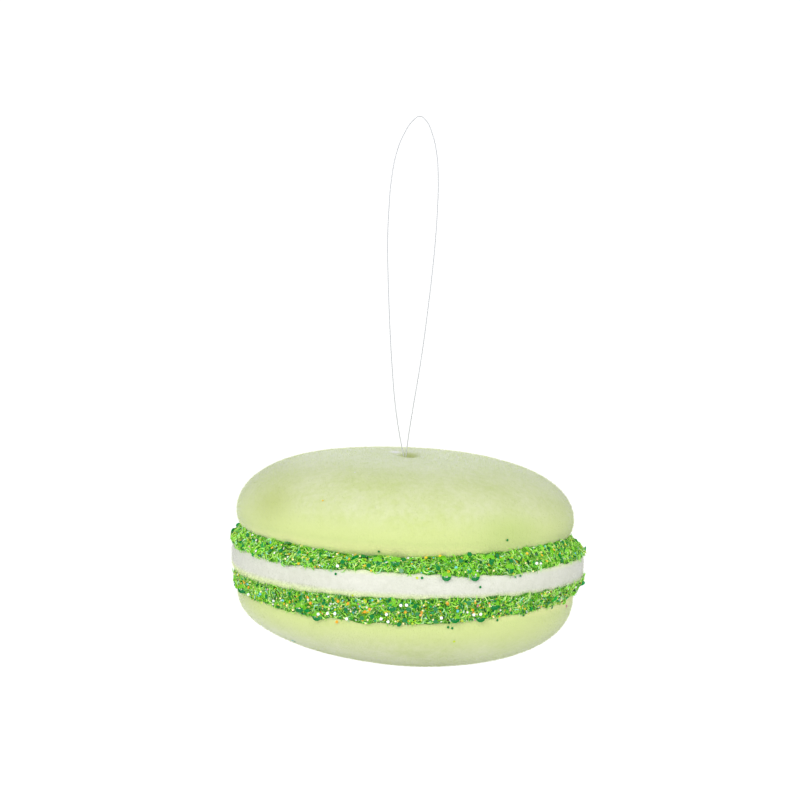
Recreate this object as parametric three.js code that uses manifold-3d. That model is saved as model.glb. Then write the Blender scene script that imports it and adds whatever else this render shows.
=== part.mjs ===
// A hanging ornament in the form of a macaron: two velvet-covered foam shells with a white
// velvet-covered disc between them, a rope of glitter trim glued into each crease, and a loop
// of clear nylon line sewn into a small pit on top.
//
// Units are millimetres and +Z is up. The origin is the middle of the ornament's base. The
// ornament stands on a small flat spot in the plane z = 0, with the loop of line above it.

import * as THREE from "three";
import { mergeVertices } from "three/addons/utils/BufferGeometryUtils.js";
import Module from "manifold-3d";

const wasm = await Module();
wasm.setup();

// ---------------------------------------------------------------- driving dimensions

const AROUND = 48; // facets round a shell or the filling

// The filling: a disc with a bulging rim.
const FILLING = {
  radius: 55,
  middle: 32, // height of its middle plane
  halfHeight: 6,
  rimDepth: 5, // how far the rim stands out from the edge of the flat faces
  roundness: 2.4, // exponent of the rim's superellipse
  rimSteps: 8,
};

// A shell: a superelliptic dome whose widest ring turns into a rounded edge next to the filling.
const UPPER_SHELL = {
  side: 1, // its dome rises
  centreX: -1.3, // the pieces are stacked by hand, so the shells sit off the filling's axis
  radius: 52.7,
  widest: 45.3, // height of its widest ring
  dome: 19.1,
  radialRoundness: 2.95,
  heightRoundness: 2.1,
  edgeDepth: 7, // from the widest ring to the flat face on the filling
  edgeReach: 7, // how far the rounded edge curls in
  leanDegrees: 0.3, // dips the middle of the dome towards +X
  domeSteps: 14,
  edgeSteps: 4,
};
const LOWER_SHELL = {
  side: -1, // its dome hangs
  centreX: -0.4,
  radius: 52.6,
  widest: 22.5,
  dome: 23.45,
  radialRoundness: 1.6,
  heightRoundness: 2.65,
  edgeDepth: 3.2,
  edgeReach: 6,
  leanDegrees: 1.6,
  domeSteps: 14,
  edgeSteps: 3,
};

// The pit that the stitched line pulls into the top: an ellipsoid sunk into the velvet.
const PIT = { x: -0.8, y: -2, halfWidth: 3.8, halfLength: 5.5, depth: 1.4, above: 0.6 };

// A rope of trim fills a crease, from its edge on the filling to its edge on a shell. It is laid
// by hand, so neither edge is level: each tilts up towards one side, and sags halfway between
// that side and the opposite one. Angles run from +X towards +Y.
const UPPER_TRIM = {
  shell: UPPER_SHELL,
  fillingEdge: { height: 35.2, tilt: 0, sag: 1.1, towardsDegrees: 0 },
  shellEdge: { height: 41.3, tilt: 0.7, sag: 1, towardsDegrees: -20 },
  bulge: 0.4,
  seed: 11,
};
const LOWER_TRIM = {
  shell: LOWER_SHELL,
  fillingEdge: { height: 27.6, tilt: 1.1, sag: 0.1, towardsDegrees: -20 },
  shellEdge: { height: 21.3, tilt: 0.8, sag: 1.4, towardsDegrees: -10 },
  bulge: 0.3,
  seed: 29,
};
const TRIM = {
  around: 72,
  faceRows: 3, // rows of facets from the middle of the outer face to either edge
  backRows: 3, // rows of facets from either edge to the tip deep in the crease
  gap: 0.5, // clearance of its corners, so that its flat facets still keep clear of a curve
  shellSteps: [0.3, 0.65, 1], // places of the back rows from the edge on the shell to the tip
  fillingSteps: [0.6, 1], // places of the back rows from the edge on the filling to its rim
  rimShare: 0.93, // height of the last back row on the filling's rim
  lump: 0.35, // height of its crumbs
  spill: 0.4, // how far its edges wander from one facet to the next
  cutGap: 0.2, // clearance of a sequin that reaches over a neighbour
};
const SEQUIN = { radius: 1.5, thickness: 0.5, sides: 7, count: 26, spread: 0.8, tilt: 0.5 };

// The loop of nylon line: x and z of its centreline, up from the pit, round the top and down.
const LINE = { diameter: 0.3, y: 0.6, sides: 8, steps: 72 };
const LINE_ROUTE = [
  [-2.4, 63.7],
  [-4, 70],
  [-5.8, 80],
  [-7, 90],
  [-8, 100],
  [-8.8, 110],
  [-9.5, 120],
  [-10, 130],
  [-10, 140],
  [-9.5, 150],
  [-8.2, 158],
  [-6, 164],
  [-3.4, 168],
  [-1.5, 169.2],
  [0.4, 168],
  [2.5, 164],
  [4.1, 158],
  [4.9, 150],
  [5, 140],
  [4.7, 130],
  [4.1, 120],
  [3.3, 110],
  [2.4, 100],
  [1.3, 90],
  [0, 80],
  [-1.2, 70],
  [-1.8, 63.7],
];

// ---------------------------------------------------------------- materials

const velvet = new THREE.MeshStandardMaterial({ color: 0xd6e29c, roughness: 0.95 });
const whiteVelvet = new THREE.MeshStandardMaterial({ color: 0xebebe2, roughness: 0.95 });
const glitter = new THREE.MeshStandardMaterial({
  color: 0x4fae33,
  roughness: 0.35,
  metalness: 0.4,
});
const nylon = new THREE.MeshStandardMaterial({ color: 0xe6eaee, roughness: 0.2 });

// ---------------------------------------------------------------- helpers

const { lerp } = THREE.MathUtils;
const QUARTER = Math.PI / 2;

/** Evenly spaced numbers from `from` to `to`, in so many steps. */
function spread(from, to, steps) {
  return Array.from({ length: steps + 1 }, (_, i) => lerp(from, to, i / steps));
}

/** A repeatable stream of numbers from -1 to 1. */
function randomStream(seed) {
  let state = seed;
  return () => {
    state = (state + 0x6d2b79f5) | 0;
    let mixed = Math.imul(state ^ (state >>> 15), 1 | state);
    mixed = (mixed + Math.imul(mixed ^ (mixed >>> 7), 61 | mixed)) ^ mixed;
    return ((mixed ^ (mixed >>> 14)) >>> 0) / 2147483648 - 1;
  };
}

/** Turns a profile of [r, z] points, listed from the bottom up, about the Z axis. */
function turned(profile) {
  const points = profile.map(([r, z]) => new THREE.Vector2(r, z));
  return new THREE.LatheGeometry(points, AROUND).rotateX(QUARTER);
}

/** Moves each vertex of a geometry by a function of the vertex and its index. */
function reshaped(geometry, move) {
  const position = geometry.getAttribute("position");
  const point = new THREE.Vector3();
  for (let i = 0; i < position.count; i++) {
    move(point.fromBufferAttribute(position, i), i);
    position.setXYZ(i, point.x, point.y, point.z);
  }
  return geometry;
}

/** A closed geometry as a solid that can be joined and cut. */
function solidOf(geometry) {
  geometry.deleteAttribute("normal");
  geometry.deleteAttribute("uv");
  const merged = mergeVertices(geometry);
  return new wasm.Manifold(
    new wasm.Mesh({
      numProp: 3,
      vertProperties: new Float32Array(merged.getAttribute("position").array),
      triVerts: new Uint32Array(merged.index.array),
    }),
  );
}

/** The largest body of a solid as a geometry, so that loose scraps fall away. */
function geometryOf(solid) {
  const [largest] = solid.decompose().sort((a, b) => b.volume() - a.volume());
  const mesh = largest.getMesh();
  const geometry = new THREE.BufferGeometry();
  geometry.setAttribute("position", new THREE.BufferAttribute(mesh.vertProperties, 3));
  geometry.setIndex(new THREE.BufferAttribute(mesh.triVerts, 1));
  geometry.computeVertexNormals();
  return geometry;
}

/** A named mesh, which is one piece of the ornament. */
function piece(name, geometry, material) {
  const mesh = new THREE.Mesh(geometry, material);
  mesh.name = name;
  return mesh;
}

// ---------------------------------------------------------------- shells

/** A point [r, z] of a dome, where `t` runs from 0 at the widest ring to QUARTER in the middle. */
function domePoint(shell, t, grow) {
  const r = (shell.radius + grow) * Math.max(Math.cos(t), 0) ** (2 / shell.radialRoundness);
  const rise = (shell.dome + grow) * Math.sin(t) ** (2 / shell.heightRoundness);
  return [t === QUARTER ? 0 : r, shell.widest + shell.side * rise];
}

/** A point [r, z] of the rounded edge, where `t` runs from 0 at the widest ring to QUARTER. */
function edgePoint(shell, t, grow) {
  const r = shell.radius - shell.edgeReach + (shell.edgeReach + grow) * Math.cos(t);
  return [r, shell.widest - shell.side * (shell.edgeDepth + grow) * Math.sin(t)];
}

/** How far along the rounded edge a height is, as `t` of edgePoint. Heights on the dome give 0. */
function edgeTurn(shell, z, grow) {
  const drop = (shell.side * (shell.widest - z)) / (shell.edgeDepth + grow);
  return Math.asin(THREE.MathUtils.clamp(drop, 0, 1));
}

/** The radius of a shell at a height. */
function shellRadius(shell, z, grow) {
  const rise = shell.side * (z - shell.widest);
  if (rise <= 0) return edgePoint(shell, edgeTurn(shell, z, grow), grow)[0];
  const share = (rise / (shell.dome + grow)) ** shell.heightRoundness;
  return (shell.radius + grow) * (1 - share) ** (1 / shell.radialRoundness);
}

/** Leans the dome of a shell and moves the shell to its place on the filling. */
function settle(shell, point) {
  const rise = (shell.side * (point.z - shell.widest)) / shell.dome;
  const lean = Math.tan(THREE.MathUtils.degToRad(shell.leanDegrees));
  point.z -= lean * point.x * THREE.MathUtils.smoothstep(rise, 0, 1);
  point.x += shell.centreX;
}

/** A shell, grown by `grow` on all sides. */
function shellGeometry(shell, grow = 0) {
  const dome = spread(0, QUARTER, shell.domeSteps).map((t) => domePoint(shell, t, grow));
  const edge = spread(QUARTER, 0, shell.edgeSteps).map((t) => edgePoint(shell, t, grow));
  const profile = [[0, edge[0][1]], ...edge, ...dome.slice(1)];
  if (shell.side < 0) profile.reverse();
  return reshaped(turned(profile), (point) => settle(shell, point));
}

function upperShell() {
  const scale = Math.sqrt(1 - (PIT.above / (PIT.above + PIT.depth)) ** 2); // of the pit's mouth
  const pit = new THREE.SphereGeometry(1, 16, 12)
    .scale(PIT.halfWidth / scale, PIT.halfLength / scale, PIT.above + PIT.depth)
    .translate(PIT.x, PIT.y, UPPER_SHELL.widest + UPPER_SHELL.dome + PIT.above);
  return geometryOf(solidOf(shellGeometry(UPPER_SHELL)).subtract(solidOf(pit)));
}

/** The lower shell, flattened in the plane z = 0 where the ornament stands on it. */
function lowerShell() {
  return reshaped(shellGeometry(LOWER_SHELL), (point) => {
    point.z = Math.max(point.z, 0);
  });
}

// ---------------------------------------------------------------- filling

/** The radius of the filling's rim at a height. */
function rimRadius(z, grow) {
  const share = Math.abs(z - FILLING.middle) / (FILLING.halfHeight + grow);
  const depth = (1 - Math.min(share, 1) ** FILLING.roundness) ** (1 / FILLING.roundness);
  return FILLING.radius - FILLING.rimDepth + (FILLING.rimDepth + grow) * depth;
}

/** The filling, grown by `grow` on all sides. */
function fillingGeometry(grow = 0) {
  const rim = spread(-QUARTER, QUARTER, FILLING.rimSteps).map((t) => {
    const z = FILLING.middle + (FILLING.halfHeight + grow) * Math.sin(t);
    return [rimRadius(z, grow), z];
  });
  return turned([[0, rim[0][1]], ...rim, [0, rim[rim.length - 1][1]]]);
}

// ---------------------------------------------------------------- glitter trim

/** The height of a rope's edge at an angle. */
function edgeHeight(edge, angle) {
  const turn = angle - THREE.MathUtils.degToRad(edge.towardsDegrees);
  return edge.height + edge.tilt * Math.cos(turn) + edge.sag * Math.cos(2 * turn);
}

/** A point [r, z, share] of a rope's outer face. `place` runs from -1 on the filling to 1 on the
 * shell, and so does `share`, from 0 to 1: how much of the shell's offset the point follows. */
function facePoint(trim, angle, place, spills = [0, 0]) {
  const share = (Math.sin(place * QUARTER) + 1) / 2;
  const low = edgeHeight(trim.fillingEdge, angle) + spills[0];
  const high = edgeHeight(trim.shellEdge, angle) + spills[1];
  const base = lerp(rimRadius(low, TRIM.gap), shellRadius(trim.shell, high, TRIM.gap), share);
  return [base + trim.bulge * Math.cos(place * QUARTER), lerp(low, high, share), share];
}

/** A point [r, z, share] of the side of a rope that follows the shell's rounded edge, from the
 * outer face to the tip, where the clearances of the shell and the filling meet. */
function shellSidePoint(trim, angle, row, spill) {
  const { shell } = trim;
  const flat = FILLING.middle + shell.side * (FILLING.halfHeight + TRIM.gap);
  const tip = edgeTurn(shell, flat, TRIM.gap);
  const start = edgeTurn(shell, edgeHeight(trim.shellEdge, angle) + spill, TRIM.gap);
  return [...edgePoint(shell, lerp(start, tip, TRIM.shellSteps[row - 1]), TRIM.gap), 1];
}

/** A point [r, z, share] of the side of a rope that follows the filling's rounded rim. */
function fillingSidePoint(trim, angle, row, spill) {
  const rim = FILLING.middle + trim.shell.side * (FILLING.halfHeight + TRIM.gap) * TRIM.rimShare;
  const start = edgeHeight(trim.fillingEdge, angle) + spill;
  const z = lerp(start, rim, TRIM.fillingSteps[row - 1]);
  return [rimRadius(z, TRIM.gap), z, 0];
}

/** The rope itself: a ring whose section fills the crease, with a lumpy face and wavy edges. */
function ropeGeometry(trim) {
  const rows = 2 * (TRIM.faceRows + TRIM.backRows);
  const random = randomStream(trim.seed);
  const lumps = Array.from({ length: rows * TRIM.around }, random);
  const spills = Array.from({ length: TRIM.around }, () => [
    random() * TRIM.spill,
    random() * TRIM.spill,
  ]);
  const ring = new THREE.TorusGeometry(FILLING.radius, 1, rows, TRIM.around);
  return reshaped(ring, (point, index) => {
    const turn = index % (TRIM.around + 1) % TRIM.around;
    const step = Math.floor(index / (TRIM.around + 1)) % rows;
    const row = trim.shell.side * (step > rows / 2 ? step - rows : step);
    const back = Math.abs(row) - TRIM.faceRows;
    const angle = (turn / TRIM.around) * 4 * QUARTER;
    let [r, z, share] = facePoint(trim, angle, row / TRIM.faceRows, spills[turn]);
    if (back < 0) r += TRIM.lump * lumps[turn * rows + step];
    else if (back === TRIM.backRows || (back > 0 && row > 0)) {
      [r, z, share] = shellSidePoint(trim, angle, back, spills[turn][1]);
    } else if (back > 0) [r, z, share] = fillingSidePoint(trim, angle, back, spills[turn][0]);
    const offset = trim.shell.centreX * share;
    point.set(r * Math.cos(angle) + offset, r * Math.sin(angle), z);
  });
}

/** Sequins half sunk in a rope's face, evenly round it and each tilted its own way. */
function sequinGeometries(trim) {
  const random = randomStream(trim.seed + 1);
  return spread(0, 4 * QUARTER, SEQUIN.count)
    .slice(1)
    .map((angle) => {
      const [r, z, share] = facePoint(trim, angle, SEQUIN.spread * random());
      const facing = new THREE.Vector3(1, SEQUIN.tilt * random(), SEQUIN.tilt * random());
      const turn = new THREE.Quaternion().setFromUnitVectors(
        new THREE.Vector3(0, 1, 0),
        facing.normalize(),
      );
      return new THREE.CylinderGeometry(
        SEQUIN.radius,
        SEQUIN.radius,
        SEQUIN.thickness,
        SEQUIN.sides,
      )
        .applyQuaternion(turn)
        .translate(r, 0, z)
        .rotateZ(angle)
        .translate(trim.shell.centreX * share, 0, 0);
    });
}

/** A rope with its sequins, cut clear of the shell and the filling that it lies between. */
function glitterTrim(trim) {
  const rope = sequinGeometries(trim).reduce(
    (joined, sequin) => joined.add(solidOf(sequin)),
    solidOf(ropeGeometry(trim)),
  );
  const cut = rope
    .subtract(solidOf(shellGeometry(trim.shell, TRIM.cutGap)))
    .subtract(solidOf(fillingGeometry(TRIM.cutGap)));
  return geometryOf(cut);
}

// ---------------------------------------------------------------- loop of line

function hangingLoop() {
  const route = new THREE.CatmullRomCurve3(
    LINE_ROUTE.map(([x, z]) => new THREE.Vector3(x, LINE.y, z)),
  );
  const corners = spread(0, 4 * QUARTER, LINE.sides)
    .slice(1)
    .map((turn) => new THREE.Vector2(Math.cos(turn), Math.sin(turn)))
    .map((corner) => corner.multiplyScalar(LINE.diameter / 2));
  return new THREE.ExtrudeGeometry(new THREE.Shape(corners), {
    extrudePath: route,
    steps: LINE.steps,
    bevelEnabled: false,
  });
}

// ---------------------------------------------------------------- the ornament

const ornament = new THREE.Group();
ornament.add(piece("lower_shell", lowerShell(), velvet));
ornament.add(piece("lower_glitter_trim", glitterTrim(LOWER_TRIM), glitter));
ornament.add(piece("filling", fillingGeometry(), whiteVelvet));
ornament.add(piece("upper_glitter_trim", glitterTrim(UPPER_TRIM), glitter));
ornament.add(piece("upper_shell", upperShell(), velvet));
ornament.add(piece("hanging_loop", hangingLoop(), nylon));

export default ornament;
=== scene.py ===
"""The looks of a velvet macaron ornament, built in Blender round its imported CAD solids.

The ornament is a stack of two pale green velvet shells and a white velvet filling, with a rope of
glitter trim in each crease and a loop of clear nylon line on top. Sizes in the classes are in
millimetres, in the frame of the CAD solids, and become metres when a mesh is made.
"""

import logging
import math
from dataclasses import dataclass, replace
from enum import Enum
from typing import Any

import bpy
import numpy as np
from mathutils import Matrix, Vector, noise


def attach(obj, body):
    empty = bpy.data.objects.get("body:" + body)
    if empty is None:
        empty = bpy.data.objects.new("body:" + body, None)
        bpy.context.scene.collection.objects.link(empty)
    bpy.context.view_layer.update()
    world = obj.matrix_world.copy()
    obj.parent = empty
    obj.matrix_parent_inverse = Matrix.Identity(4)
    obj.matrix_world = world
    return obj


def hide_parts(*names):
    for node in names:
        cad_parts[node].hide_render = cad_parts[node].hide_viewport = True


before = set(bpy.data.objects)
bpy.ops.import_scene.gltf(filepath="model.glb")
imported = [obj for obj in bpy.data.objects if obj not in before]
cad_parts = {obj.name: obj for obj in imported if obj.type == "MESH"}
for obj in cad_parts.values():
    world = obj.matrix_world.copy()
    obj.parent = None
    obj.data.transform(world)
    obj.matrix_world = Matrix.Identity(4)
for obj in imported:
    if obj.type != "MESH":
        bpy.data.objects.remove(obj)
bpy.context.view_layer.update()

MM = 0.001
QUARTER = math.pi / 2
BODY = "root"
COVER = "cover"  # the attribute that says how far inside its surface a place is, from 0 to 1
FRINGE = "fringe"  # the same for the lower edge of the filling
TINT = "tint"  # the attribute that gives each small thing a colour of its own, from 0 to 1
NOISE_RANGE = (0.3, 0.7)  # the range that holds most of a noise texture's values
SURFACE_MAP = "surface"  # the UV map that follows a turned piece, in metres
STRIP_MAP = "strip"  # the UV map of a shaving, across and along it

Array = np.ndarray
Colour = tuple[float, float, float]
Face = tuple[int, ...]
Places = tuple[tuple[int, int], ...]  # across and down the camera's frame, in pixels
log = logging.getLogger("ornament")


# ------------------------------------------------------------------ helpers


def colour(red: int, green: int, blue: int) -> Colour:
    """A colour as the eye reads it, from 0 to 255, in the linear numbers that shaders take."""
    shares = (value / 255 for value in (red, green, blue))
    return tuple(s / 12.92 if s <= 0.04045 else ((s + 0.055) / 1.055) ** 2.4 for s in shares)


def smooth(values: Array, low: float, high: float) -> Array:
    """A smooth step from 0 at `low` to 1 at `high`."""
    share = np.clip((values - low) / (high - low), 0, 1)
    return share * share * (3 - 2 * share)


def noise_at(points: Array, feature: float, seed: float) -> Array:
    """Soft noise at points.

    Args:
        points: Places, one a row, in millimetres.
        feature: The size of one lump, in millimetres.
        seed: Shifts the noise, so that pieces differ.

    Returns:
        A number for each point, from about -1 to 1.
    """
    shift = Vector((seed, seed * 1.7, -seed))
    return np.array([noise.noise(Vector(p) / feature + shift) for p in points])


@dataclass
class Form:
    """Points in millimetres and the faces between them, before they become an object."""

    points: Array
    faces: list[Face]
    marks: Array | None = None  # UV marks, one for each corner of each face
    map_name: str = SURFACE_MAP

    def moved(self, matrix: Matrix) -> "Form":
        """The same form, moved by a matrix."""
        turned = self.points @ np.array(matrix.to_3x3()).T + np.array(matrix.translation)
        return replace(self, points=turned)

    def build(self, name: str, smooth_shading: bool = False) -> bpy.types.Object:
        """Makes a mesh object at the origin.

        Args:
            name: The object's name.
            smooth_shading: Whether its shading runs smoothly over its faces.

        Returns:
            The object, linked to the scene.
        """
        mesh = bpy.data.meshes.new(name)
        mesh.from_pydata((self.points * MM).tolist(), [], self.faces)
        mesh.update()
        if self.marks is not None:
            uv = mesh.uv_layers.new(name=self.map_name)
            uv.data.foreach_set("uv", np.asarray(self.marks, float).ravel())
        mesh.polygons.foreach_set("use_smooth", [smooth_shading] * len(mesh.polygons))
        piece = bpy.data.objects.new(name, mesh)
        bpy.context.scene.collection.objects.link(piece)
        return piece


def joined(forms: list[Form]) -> Form:
    """Several marked forms as one."""
    starts = np.cumsum([0] + [len(form.points) for form in forms])
    faces = [tuple(v + s for v in f) for form, s in zip(forms, starts.tolist()) for f in form.faces]
    marks = np.vstack([form.marks for form in forms])
    return Form(np.vstack([form.points for form in forms]), faces, marks, forms[0].map_name)


def point_positions(piece: bpy.types.Object) -> Array:
    """The vertices of a piece, in millimetres."""
    points = np.empty(3 * len(piece.data.vertices))
    piece.data.vertices.foreach_get("co", points)
    return points.reshape(-1, 3) / MM


def set_point_attribute(piece: bpy.types.Object, name: str, values: Array) -> None:
    """Gives each vertex of a piece a number."""
    attribute = piece.data.attributes.new(name, "FLOAT", "POINT")
    attribute.data.foreach_set("value", values.astype(np.float32))


def hand_over(piece: bpy.types.Object, node: str | None = None) -> None:
    """Gives a finished piece to the frame.

    Args:
        piece: The piece.
        node: The CAD node that it stands for, if there is one.
    """
    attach(piece, BODY)
    if node:
        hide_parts(node)
    triangles = sum(len(polygon.vertices) - 2 for polygon in piece.data.polygons)
    log.info("%s: %d triangles", piece.name, triangles)


class NodeTree:
    """Builds a node tree, one node at a time."""

    def __init__(self, tree: bpy.types.NodeTree) -> None:
        """Starts on an empty tree."""
        self.tree = tree
        tree.nodes.clear()

    def add(self, kind: str, settings: dict[str, Any] | None = None, **inputs: Any) -> Any:
        """Adds a node.

        Args:
            kind: The node's type name.
            settings: Values for the node's own properties.
            **inputs: A value or an output to link, for each input by its identifier or name, with
                spaces written as underscores.

        Returns:
            The node.
        """
        node = self.tree.nodes.new(kind)
        for key, value in (settings or {}).items():
            setattr(node, key, value)
        for key, value in inputs.items():
            names = (key, key.replace("_", " "))
            found = [s for s in node.inputs if s.identifier in names]
            self.feed((found or [s for s in node.inputs if s.name in names])[0], value)
        return node

    def feed(self, socket: Any, value: Any) -> None:
        """Links an output to an input, or sets the input's value."""
        if isinstance(value, bpy.types.NodeSocket):
            self.tree.links.new(value, socket)
        elif isinstance(value, tuple) and socket.type == "RGBA":
            socket.default_value = (*value, 1.0)
        else:
            socket.default_value = value

    def math(self, operation: str, *numbers: Any) -> Any:
        """Adds a sum of numbers and returns the result."""
        node = self.add("ShaderNodeMath", {"operation": operation})
        for socket, value in zip(node.inputs, numbers):
            self.feed(socket, value)
        return node.outputs[0]

    def vector_math(self, operation: str, *vectors: Any, **inputs: Any) -> Any:
        """Adds a sum of vectors and returns the result."""
        node = self.add("ShaderNodeVectorMath", {"operation": operation}, **inputs)
        for socket, value in zip(node.inputs, vectors):
            self.feed(socket, value)
        return node.outputs[0]

    def noise(self, place: Any, scale: float, detail: float = 2.0) -> Any:
        """Adds noise over a place and returns its output, about 0.5 on average."""
        made = self.add("ShaderNodeTexNoise", Vector=place, Scale=scale, Detail=detail)
        return made.outputs["Fac"]

    def mix(self, factor: Any, first: Any, second: Any) -> Any:
        """Mixes two colours and returns the result."""
        settings = {"data_type": "RGBA"}
        mixed = self.add(
            "ShaderNodeMix", settings, Factor_Float=factor, A_Color=first, B_Color=second
        )
        return next(s for s in mixed.outputs if s.enabled)

    def spread(self, value: Any, low: Any, high: Any, kind: str = "LINEAR") -> Any:
        """Stretches the range from `low` to `high` to run from 0 to 1."""
        settings = {"interpolation_type": kind}
        ranged = self.add(
            "ShaderNodeMapRange", settings, Value=value, From_Min=low, From_Max=high
        )
        return ranged.outputs[0]


# ------------------------------------------------------------------ finishes


def new_material(name: str) -> tuple[bpy.types.Material, NodeTree]:
    """Makes an empty material and returns it with its node tree."""
    material = bpy.data.materials.new(name)
    material.use_nodes = True
    return material, NodeTree(material.node_tree)


def principled(tree: NodeTree, **inputs: Any) -> None:
    """Adds a principled surface with these inputs and links it to the output."""
    shader = tree.add("ShaderNodeBsdfPrincipled", **inputs)
    tree.add("ShaderNodeOutputMaterial", Surface=shader.outputs["BSDF"])


@dataclass(frozen=True)
class Patch:
    """A patch of another tone, which fades out from a place on it: painted shade, or the cloth's
    own tone.
    """

    centre: tuple[float, float, float]  # millimetres
    reach: tuple[float, float, float]  # how far it reaches along each axis, in millimetres
    tone: Colour
    fade: float = 0.3  # share of its reach at which it starts to fade

    def laid(self, tree: NodeTree, place: Any, tone: Any) -> Any:
        """Lays the patch over a tone and returns the result."""
        off = tree.vector_math("SUBTRACT", place, tuple(c * MM for c in self.centre))
        off = tree.vector_math("DIVIDE", off, tuple(r * MM for r in self.reach))
        far = tree.add("ShaderNodeVectorMath", {"operation": "LENGTH"}, Vector=off)
        share = tree.spread(far.outputs["Value"], 1.0, self.fade, "SMOOTHSTEP")
        return tree.mix(share, tone, self.tone)


@dataclass(frozen=True)
class PaintedTrimLight:
    """Painted light on velvet near the glitter trims: a tone that stands in for the trims' light
    falling on it.
    """

    tone: Colour
    full: float  # millimetres above or below the filling's middle at which it is all there
    none: float  # and at which it has faded out

    def laid(self, tree: NodeTree, place: Any, tone: Any) -> Any:
        """Lays the painted light's tone over another and returns the result."""
        height = tree.add("ShaderNodeSeparateXYZ", Vector=place).outputs["Z"]
        off = tree.math("ABSOLUTE", tree.math("SUBTRACT", height, FillingForm.middle * MM))
        share = tree.spread(off, self.none * MM, self.full * MM, "SMOOTHSTEP")
        return tree.mix(share, tone, self.tone)


@dataclass(frozen=True)
class VelvetFinish:
    """Short-pile velvet, with brushed patches of painted sheen and shade, and a grain."""

    name: str
    brushed: Colour  # painted sheen: where the pile lies towards the light
    shaded: Colour  # painted shade: where the pile stands or lies away from the light
    overlays: tuple[PaintedTrimLight | Patch, ...] = ()
    relief: bool = True  # whether the surface between the fibres is grained too
    brush_scale: float = 36.0
    brush_range: tuple[float, float] = (0.4, 0.68)
    brush_share: float = 0.5  # how much the brushed patches add to the shade
    mottle_scale: float = 210.0
    mottle_share: float = 0.26
    fleck_scale: float = 620.0
    fleck_share: float = 0.4
    grain_scale: float = 1700.0
    streak: tuple[float, float, float] = (1500.0, 260.0, 1.0)  # grain round and up the pile
    streak_share: float = 0.8  # how high the streaks are, against the grain
    bump: float = 0.35
    bump_depth: float = 0.4  # millimetres
    sheen: float = 0.5

    def material(self) -> bpy.types.Material:
        """Makes the material."""
        material, tree = new_material(self.name)
        place = tree.add("ShaderNodeTexCoord").outputs["Object"]
        brush = tree.spread(tree.noise(place, self.brush_scale, 3.0), *self.brush_range)
        mottle = tree.spread(tree.noise(place, self.mottle_scale, 2.0), *NOISE_RANGE)
        fleck = tree.spread(tree.noise(place, self.fleck_scale, 1.0), *NOISE_RANGE)
        shade = tree.math("MULTIPLY", brush, self.brush_share)
        shade = tree.math("MULTIPLY_ADD", mottle, self.mottle_share, shade)
        shade = tree.math("MULTIPLY_ADD", fleck, self.fleck_share, shade)
        inputs = {}
        if self.relief:
            along = tree.add("ShaderNodeUVMap", {"uv_map": SURFACE_MAP}).outputs["UV"]
            stretched = tree.vector_math("MULTIPLY", along, self.streak)
            streaks = tree.noise(stretched, 1.0)
            grain = tree.noise(place, self.grain_scale, 3.0)
            height = tree.math("MULTIPLY_ADD", streaks, self.streak_share, grain)
            depth = self.bump_depth * MM
            bump = tree.add("ShaderNodeBump", Strength=self.bump, Distance=depth, Height=height)
            inputs["Normal"] = bump.outputs["Normal"]
        tone = tree.mix(shade, self.brushed, self.shaded)
        for overlay in self.overlays:
            tone = overlay.laid(tree, place, tone)
        principled(
            tree,
            Base_Color=tone,
            Roughness=0.9,
            Specular_IOR_Level=0.1,
            Sheen_Weight=self.sheen,
            Sheen_Roughness=0.4,
            Sheen_Tint=(0.86, 0.88, 1.0),
            **inputs,
        )
        return material


@dataclass(frozen=True)
class FilmFinish:
    """Thin coloured film: each small thing takes a tone of its own from a row of tones."""

    name: str
    tones: tuple[tuple[float, Colour], ...]  # where each tone starts, and the tone
    roughness: float
    coat: float = 0.15
    edge: Colour | None = None  # a paler tone along the edges of a shaving, a painted highlight; on a cup sequin, the painted lit half of its inside
    blend: bool = False  # whether the tones run into each other

    def material(self) -> bpy.types.Material:
        """Makes the material."""
        material, tree = new_material(self.name)
        tint = tree.add("ShaderNodeAttribute", {"attribute_name": TINT}).outputs["Fac"]
        ramp = tree.add("ShaderNodeValToRGB", Fac=tint)
        stops = ramp.color_ramp
        stops.interpolation = "LINEAR" if self.blend else "CONSTANT"
        for index, (start, tone) in enumerate(self.tones):
            stop = stops.elements[index] if index < 2 else stops.elements.new(start)
            stop.position = start
            stop.color = (*tone, 1.0)
        tone = ramp.outputs["Color"]
        # painted highlight: a paler tone along a shaving's edges, and over the marked lit half of a
        # cup sequin's inside
        if self.edge:
            across = tree.add("ShaderNodeUVMap", {"uv_map": STRIP_MAP}).outputs["UV"]
            parts = tree.add("ShaderNodeSeparateXYZ", Vector=across)
            off_middle = tree.math("ABSOLUTE", tree.math("SUBTRACT", parts.outputs["X"], 0.5))
            tone = tree.mix(tree.spread(off_middle, 0.25, 0.5), tone, self.edge)
        principled(
            tree,
            Base_Color=tone,
            Roughness=self.roughness,
            Coat_Weight=self.coat,
            Coat_Roughness=0.06,
        )
        return material


@dataclass(frozen=True)
class NylonFinish:
    """Clear nylon line, a little milky."""

    name: str = "clear_nylon"
    tone: Colour = colour(222, 225, 230)

    def material(self) -> bpy.types.Material:
        """Makes the material."""
        material, tree = new_material(self.name)
        principled(
            tree, Base_Color=self.tone, Roughness=0.25, IOR=1.53, Transmission_Weight=0.25
        )
        return material


@dataclass(frozen=True)
class FloorFinish:
    """A plain white studio floor that glows a little."""

    name: str = "white_floor"
    tone: Colour = (0.5, 0.5, 0.5)
    glow: float = 0.8

    def material(self) -> bpy.types.Material:
        """Makes the material."""
        material, tree = new_material(self.name)
        principled(
            tree,
            Base_Color=self.tone,
            Roughness=0.9,
            Emission_Color=(1.0, 1.0, 1.0),
            Emission_Strength=self.glow,
        )
        return material


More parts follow.
